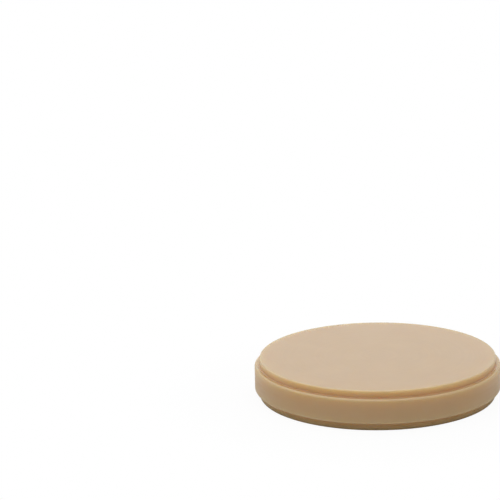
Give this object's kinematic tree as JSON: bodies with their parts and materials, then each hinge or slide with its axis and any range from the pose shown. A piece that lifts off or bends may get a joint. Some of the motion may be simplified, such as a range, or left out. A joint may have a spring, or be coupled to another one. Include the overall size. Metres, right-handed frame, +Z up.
{
  "type": "dental milling disc",
  "caption": "Round tooth-coloured resin blank with a tall gripping rim and a slightly smaller step on each face, from which dental crowns are milled.",
  "frame": {"origin": "centre of the lower face, on the blank's axis", "axes": "+Z up along the blank's axis, from the lower face to the upper one; X and Y lie in the lower face, and no direction round the axis differs from another"},
  "size_m": [0.0984, 0.0984, 0.016],
  "materials": {
    "tooth_resin": "satin"
  },
  "bodies": {
    "root": {"milling_disc": "tooth_resin"}
  },
  "joints": []
}
